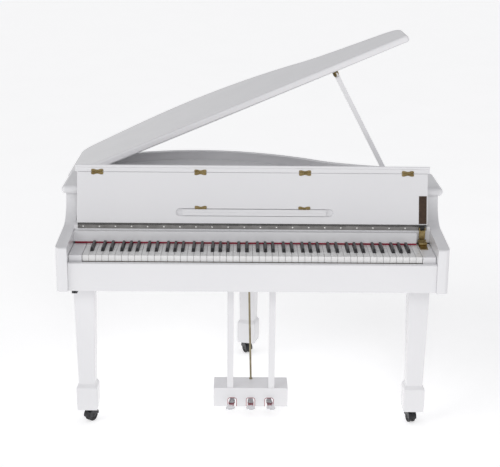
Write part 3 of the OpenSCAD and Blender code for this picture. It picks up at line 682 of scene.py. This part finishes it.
def wheel_pair(bm, place):
    """Two grooved treads with dished hubs on a plain axle."""
    for k in (-1, 1):
        inner = place @ frame_of((k, 0.0, 0.0), (0.0, 0.0, 1.0), (k * 3.4 * MM, TRAIL, WHEEL_R))
        tube(bm, [(4.0 * MM, 0.0), (20.8 * MM, 0.0), (23.2 * MM, 0.8 * MM), (WHEEL_R, 2.2 * MM),
                  (WHEEL_R, 4.0 * MM), (23.5 * MM, 4.6 * MM), (WHEEL_R, 5.2 * MM),
                  (WHEEL_R, 7.2 * MM), (23.0 * MM, 9.0 * MM), (20.8 * MM, 9.8 * MM),
                  (18.6 * MM, 9.8 * MM), (17.2 * MM, 7.6 * MM), (8.6 * MM, 6.8 * MM),
                  (7.2 * MM, 9.2 * MM), (4.0 * MM, 9.4 * MM)], inner, 48)
        for spoke in range(6):
            turned = inner @ Matrix.Rotation(math.tau * spoke / 6, 4, "Z")
            block(bm, (7.0 * MM, -0.9 * MM, 6.6 * MM), (18.0 * MM, 0.9 * MM, 8.8 * MM), turned,
                  0.3 * MM)
    axle = place @ frame_of((1.0, 0.0, 0.0), (0.0, 0.0, 1.0), (-13.6 * MM, TRAIL, WHEEL_R))
    lathe(bm, [(2.4 * MM, 0.0), (3.0 * MM, 0.6 * MM), (3.0 * MM, 26.6 * MM),
               (2.4 * MM, 27.2 * MM)], axle, 20)


for corner in ("front_left", "front_right", "rear"):
    local = caster_frame(corner)
    body_bm, wheel_bm = bmesh.new(), bmesh.new()
    caster_body(body_bm, local)
    wheel_pair(wheel_bm, local)
    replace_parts(piece(corner + "_fork", body_bm, corner + "_caster", "caster_plastic"),
                corner + "_caster")
    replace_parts(piece(corner + "_twin_wheel", wheel_bm, corner + "_wheels", "wheel_plastic"),
                corner + "_wheels")

# ---- pedals ----

# Distance in front of the turning point, half width, half thickness, height over the shaft
PEDAL_SHAPE = [(2, 7.5, 5.0, 0.0), (-20, 8.2, 4.0, -2.6), (-50, 8.6, 3.8, -3.0),
               (-66, 10.8, 3.8, -3.1), (-78, 12.0, 3.8, -3.3), (-104, 12.2, 4.1, -4.2),
               (-118, 13.4, 4.4, -4.8), (-127, 16.0, 4.6, -5.0), (-135, 17.7, 4.8, -5.0),
               (-142, 17.7, 4.8, -5.0), (-148, 15.6, 4.6, -5.0), (-152.5, 12.0, 4.0, -5.0),
               (-155, 7.6, 2.8, -5.0), (-155.8, 3.0, 1.3, -5.0)]
BEND_AT = -75


def pedal(name, turn):
    """Cast pedal: barrel on the shaft, slim neck and a broad rounded foot."""
    at = pivot(name + "_press")
    bm = bmesh.new()
    rings = []
    for reach, half, thick, rise in PEDAL_SHAPE:
        past = min(reach - BEND_AT, 0.0)
        middle = Vector((at.x - past * math.sin(turn) * MM,
                         at.y + (reach - past + past * math.cos(turn)) * MM, at.z + rise * MM))
        ring = []
        for i in range(20):
            a = math.tau * i / 20
            u = math.copysign(abs(math.cos(a)) ** 0.55, math.cos(a)) * half * MM
            v = math.copysign(abs(math.sin(a)) ** 0.75, math.sin(a)) * thick * MM
            ring.append(middle + Vector((u, 0.0, v)))
        rings.append(ring)
    loft(bm, rings)
    barrel = frame_of((1.0, 0.0, 0.0), (0.0, 0.0, 1.0), (at.x - 12 * MM, at.y, at.z))
    tube(bm, [(4.1 * MM, 0.0), (8.2 * MM, 0.0), (9.0 * MM, 0.9 * MM), (9.0 * MM, 23.1 * MM),
              (8.2 * MM, 24.0 * MM), (4.1 * MM, 24.0 * MM)], barrel, 32)
    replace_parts(piece(name + "_casting", bm, name, "chrome", sharp=60.0), name)


pedal("left_pedal", math.radians(-6))
pedal("middle_pedal", 0.0)
pedal("right_pedal", math.radians(6))

# ---- camera, floor, light ----

CAMERA_AT = Vector((-0.05166, -4.68522, 2.00521))
LENS, SENSOR = 86.6, 36.0
PITCH, YAW, ROLL = math.radians(16.036), math.radians(0.571), math.radians(0.552)
forward = Vector((math.sin(YAW) * math.cos(PITCH), math.cos(YAW) * math.cos(PITCH),
                  -math.sin(PITCH)))
level = Vector((math.cos(YAW), -math.sin(YAW), 0.0))
upward = level.cross(forward)
right = math.cos(ROLL) * level + math.sin(ROLL) * upward
over = -math.sin(ROLL) * level + math.cos(ROLL) * upward
camera = bpy.data.objects.new("camera", bpy.data.cameras.new("camera"))
camera.data.lens = LENS
camera.data.sensor_width = SENSOR
camera.matrix_world = Matrix((right, over, -forward)).transposed().to_4x4()
camera.matrix_world.translation = CAMERA_AT
bpy.context.scene.collection.objects.link(camera)
bpy.context.scene.camera = camera

FLOOR_HALF = 60.0
FLOOR_GLOW = 0.47
floor_surface = Surface("studio_floor", Roughness=0.9)
floor_surface.shader.inputs["Emission Color"].default_value = (1.0, 1.0, 1.0, 1.0)
floor_surface.shader.inputs["Emission Strength"].default_value = FLOOR_GLOW
floor_surface.shader.inputs["Specular IOR Level"].default_value = 0.1
floor_surface.colours(floor_surface.noise(2.0), (0.3, (0.84, 0.84, 0.84)),
                      (0.7, (0.86, 0.86, 0.86)))
floor_mesh = bpy.data.meshes.new("studio_floor")
floor_corners = [(x * FLOOR_HALF, y * FLOOR_HALF, 0.0)
                 for x, y in ((-1, -1), (1, -1), (1, 1), (-1, 1))]
floor_mesh.from_pydata(floor_corners, [], [(0, 1, 2, 3)])
floor_mesh.materials.append(floor_surface.material)
floor = bpy.data.objects.new("studio_floor", floor_mesh)
bpy.context.scene.collection.objects.link(floor)

world = bpy.data.worlds.new("studio")
bpy.context.scene.world = world
world.use_nodes = True
sky = world.node_tree
direction = sky.nodes.new("ShaderNodeTexCoord").outputs["Generated"]
split = sky.nodes.new("ShaderNodeSeparateXYZ")
sky.links.new(direction, split.inputs["Vector"])
ramp = sky.nodes.new("ShaderNodeValToRGB")
# Sky from the horizon to straight overhead
ramp.color_ramp.elements[0].position = 0.0
ramp.color_ramp.elements[0].color = (1.0, 1.0, 1.0, 1.0)
ramp.color_ramp.elements[1].position = 1.0
ramp.color_ramp.elements[1].color = (0.34, 0.34, 0.35, 1.0)
middle = ramp.color_ramp.elements.new(0.16)
middle.color = (0.70, 0.70, 0.715, 1.0)
sky.links.new(split.outputs["Z"], ramp.inputs["Fac"])
sky.links.new(ramp.outputs["Color"], sky.nodes["Background"].inputs["Color"])
sky.nodes["Background"].inputs["Strength"].default_value = 0.90


def area_light(name, at, aim, size, power):
    lamp = bpy.data.lights.new(name, "AREA")
    lamp.shape = "DISK"
    lamp.size = size
    lamp.energy = power
    made = bpy.data.objects.new(name, lamp)
    made.matrix_world = frame_of(Vector(at) - Vector(aim), (1.0, 0.0, 0.1), at)
    # No mirror image of the lamp in the lacquer
    made.visible_glossy = False
    bpy.context.scene.collection.objects.link(made)


FRONT_AT, FRONT_AIM = (0.2, -5.4, 3.1), (0.0, 0.2, 0.85)
FRONT_SIZE, FRONT_POWER = 1.6, 54.0
KEY_STRENGTH, KEY_SPREAD = 0.55, 34.0
KEY_FROM = (-0.66, -0.42, 0.50)
area_light("front", FRONT_AT, FRONT_AIM, FRONT_SIZE, FRONT_POWER)
sun = bpy.data.lights.new("key", "SUN")
sun.energy = KEY_STRENGTH
sun.angle = math.radians(KEY_SPREAD)
key = bpy.data.objects.new("key", sun)
key.matrix_world = frame_of(KEY_FROM, (1.0, 0.0, 0.1), (-3.0, -4.0, 4.0))
bpy.context.scene.collection.objects.link(key)

view = bpy.context.scene.view_settings
view.view_transform = "Standard"
view.look = "None"
view.exposure = 0.0
view.gamma = 1.0
